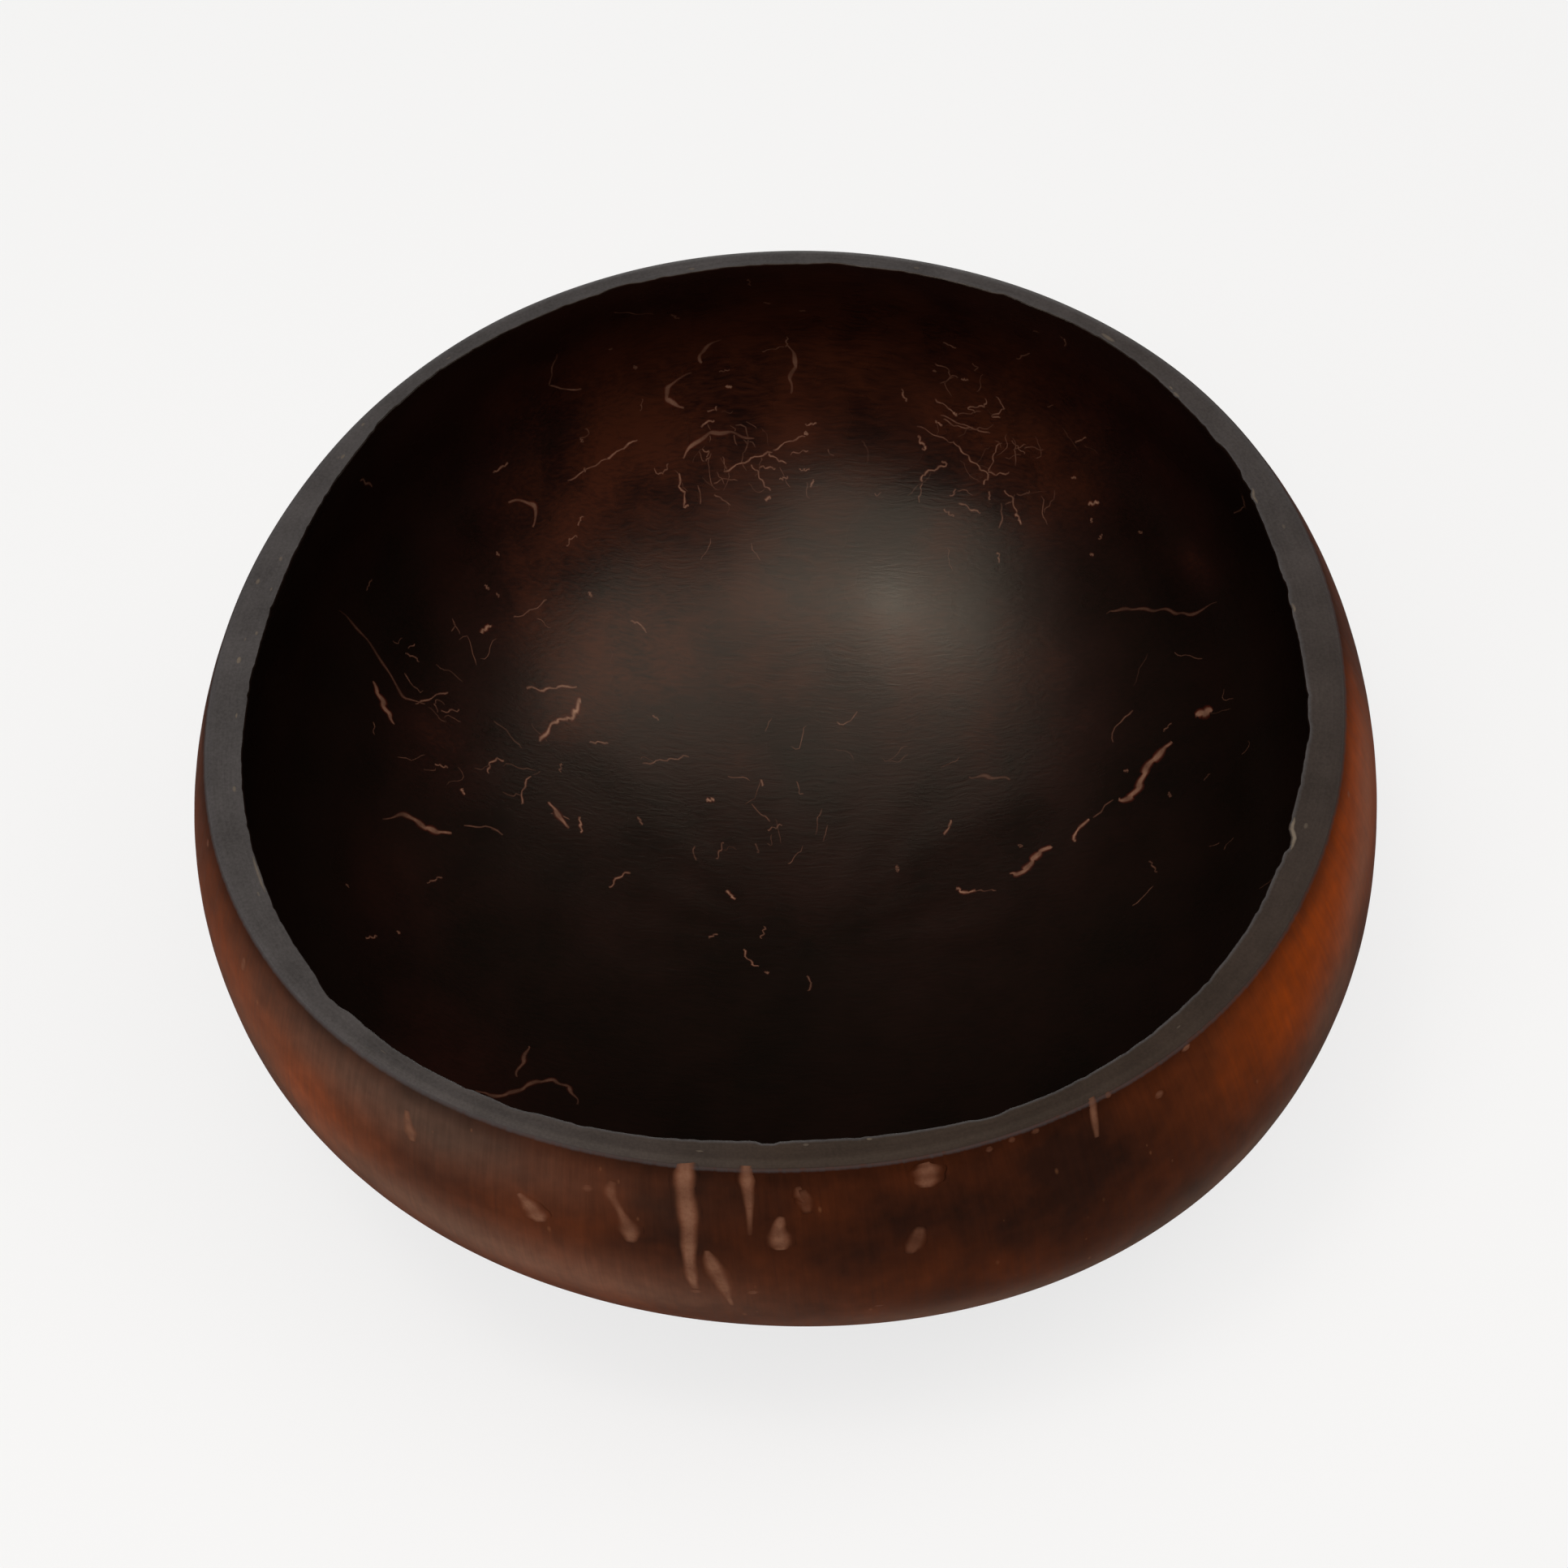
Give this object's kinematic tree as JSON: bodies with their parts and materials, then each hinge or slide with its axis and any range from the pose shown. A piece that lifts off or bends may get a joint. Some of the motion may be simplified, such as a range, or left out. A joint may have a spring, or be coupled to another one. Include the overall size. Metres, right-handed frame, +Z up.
{
  "type": "coconut shell bowl",
  "caption": "Open round bowl made from half a coconut shell, with a level sawn rim, a bulging dark wall, pale fibre strands showing in it and a flat sanded underneath.",
  "frame": {"origin": "centre of the flat sanded underneath", "axes": "+Z up out of the bowl's mouth, +X to the right and +Y away from someone who faces the front, where the broad pale streaks are"},
  "size_m": [0.1267, 0.1303, 0.0553],
  "materials": {
    "coconut_shell": "oiled and buffed dark coconut shell, darker and glossier inside",
    "pale_fibre": "tan fibre strands cut along or across by sanding, level with the outside",
    "fine_fibre": "fine brown fibre strands pressed into the inside of the shell"
  },
  "bodies": {
    "root": {"shell": "coconut_shell", "streak_front_long": "pale_fibre", "streak_front_short": "pale_fibre", "streak_front_low": "pale_fibre", "streak_front_left": "pale_fibre", "streak_right_rim": "pale_fibre", "fleck_front": "pale_fibre", "fleck_front_left": "pale_fibre", "fleck_front_right": "pale_fibre", "fleck_left": "pale_fibre", "fleck_inside_right": "fine_fibre", "curl_left_long": "fine_fibre", "curl_left_short": "fine_fibre", "curl_left_low": "fine_fibre", "curl_front_hook": "fine_fibre", "curl_front": "fine_fibre", "curl_floor_bar": "fine_fibre", "curl_floor_left": "fine_fibre", "curl_right_low": "fine_fibre", "curl_right_long": "fine_fibre", "curl_right_high": "fine_fibre", "curl_back_hook": "fine_fibre", "curl_back": "fine_fibre", "curl_back_right": "fine_fibre", "curl_back_low": "fine_fibre", "curl_back_left": "fine_fibre"}
  },
  "joints": []
}
